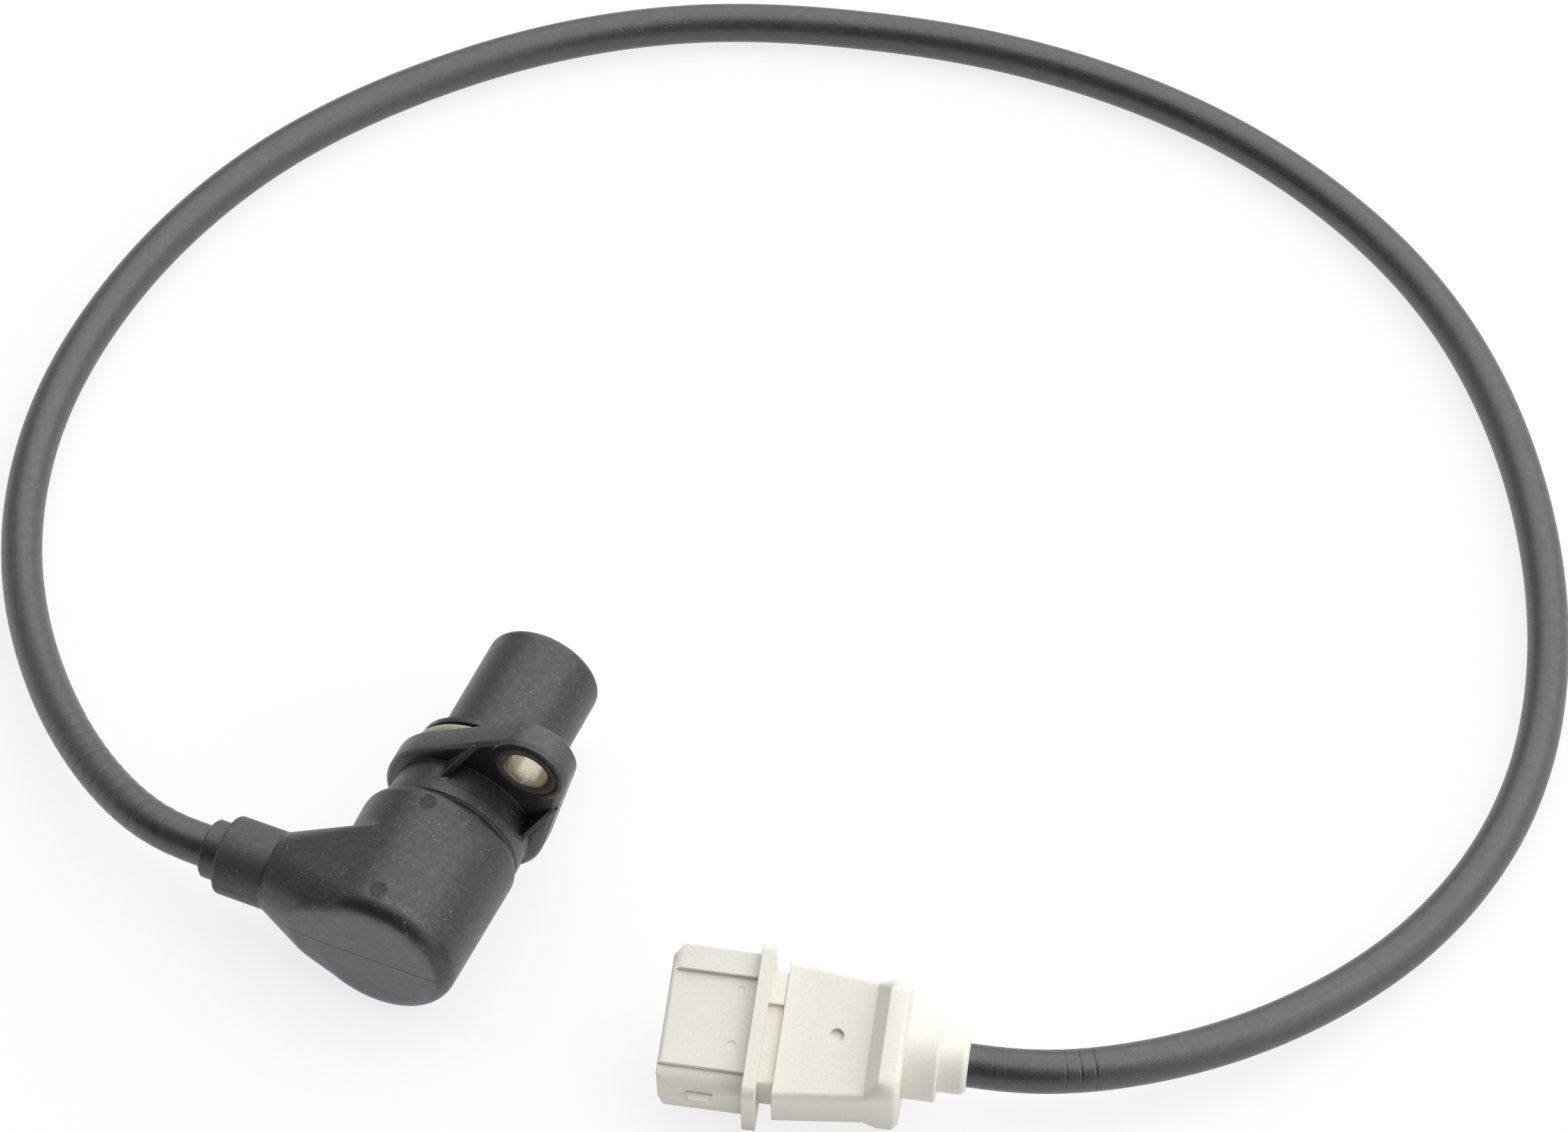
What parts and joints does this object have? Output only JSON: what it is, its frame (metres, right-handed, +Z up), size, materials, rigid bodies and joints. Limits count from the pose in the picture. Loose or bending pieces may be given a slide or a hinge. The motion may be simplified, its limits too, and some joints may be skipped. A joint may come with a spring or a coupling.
{
  "type": "crankshaft position sensor",
  "caption": "Right-angle inductive crankshaft speed sensor: round nose with a sealing ring, single-ear bolt flange, side outlet and a black lead ending in a pale grey male plug.",
  "frame": {"origin": "on the floor under the middle of the sensor's own box, the lead and its plug left out", "axes": "+Y along the nose towards its tip, -X along the lead's way out of the elbow, +Z up from the floor it lies on"},
  "size_m": [0.2471, 0.2219, 0.0344],
  "materials": {
    "black_moulding": "glass-filled black plastic, satin",
    "sleeve_metal": "turned, nickel plated",
    "green_rubber": "smooth",
    "soft_iron": "ground end",
    "bobbin_plastic": "moulded",
    "enamelled_copper": "wound, enamelled",
    "magnet_metal": "pressed and ground",
    "tinned_brass": "tinned",
    "white_core": "smooth",
    "brown_core": "smooth",
    "screen_core": "twisted tinned strands",
    "black_rubber": "matt",
    "jacket_rubber": "satin, lightly creased",
    "grey_moulding": "fine moulded grain"
  },
  "bodies": {
    "root": {"nose_shell": "black_moulding", "mounting_sleeve": "sleeve_metal", "sealing_ring": "green_rubber", "pole_pin": "soft_iron", "coil_bobbin": "bobbin_plastic", "coil_winding": "enamelled_copper", "magnet": "magnet_metal", "terminal_upper": "tinned_brass", "terminal_lower": "tinned_brass", "core_upper": "white_core", "core_lower": "brown_core", "elbow_body": "black_moulding", "lead_grommet": "black_rubber", "lead_jacket": "jacket_rubber", "plug_shell": "grey_moulding", "plug_boot": "grey_moulding", "blade_left": "tinned_brass", "blade_middle": "tinned_brass", "blade_right": "tinned_brass", "plug_core_left": "brown_core", "plug_core_middle": "screen_core", "plug_core_right": "white_core"}
  },
  "joints": []
}
